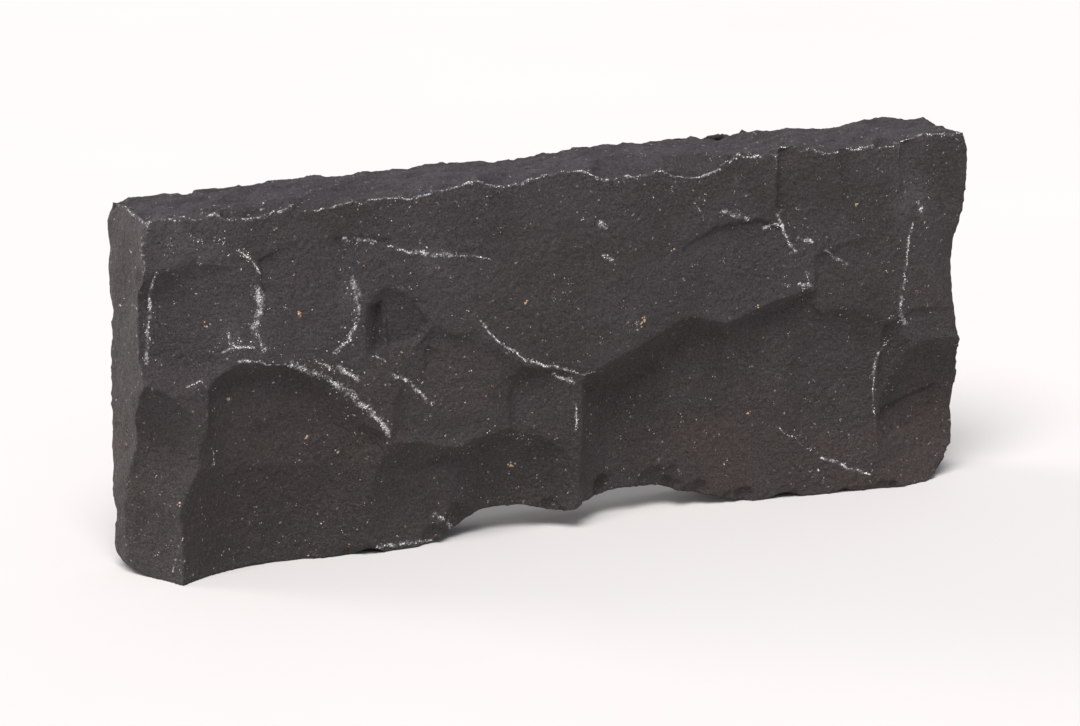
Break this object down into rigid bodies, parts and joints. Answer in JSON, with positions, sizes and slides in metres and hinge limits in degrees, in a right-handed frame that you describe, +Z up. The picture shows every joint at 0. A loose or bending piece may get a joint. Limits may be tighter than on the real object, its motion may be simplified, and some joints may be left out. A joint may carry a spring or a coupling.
{
  "type": "hewn basalt edging stone",
  "caption": "Rectangular slab of dark basalt, split and hewn by hand, that stands on its narrow side as a bed edging or dry-wall stone.",
  "frame": {"origin": "centre of the bounding box in plan, on the flat bed that the stone stands on", "axes": "+X along the length, -Y out of the worked face, +Z up from the bed"},
  "size_m": [0.506, 0.06, 0.209],
  "materials": {
    "basalt": "matte"
  },
  "bodies": {
    "root": {"basalt_block": "basalt"}
  },
  "joints": []
}
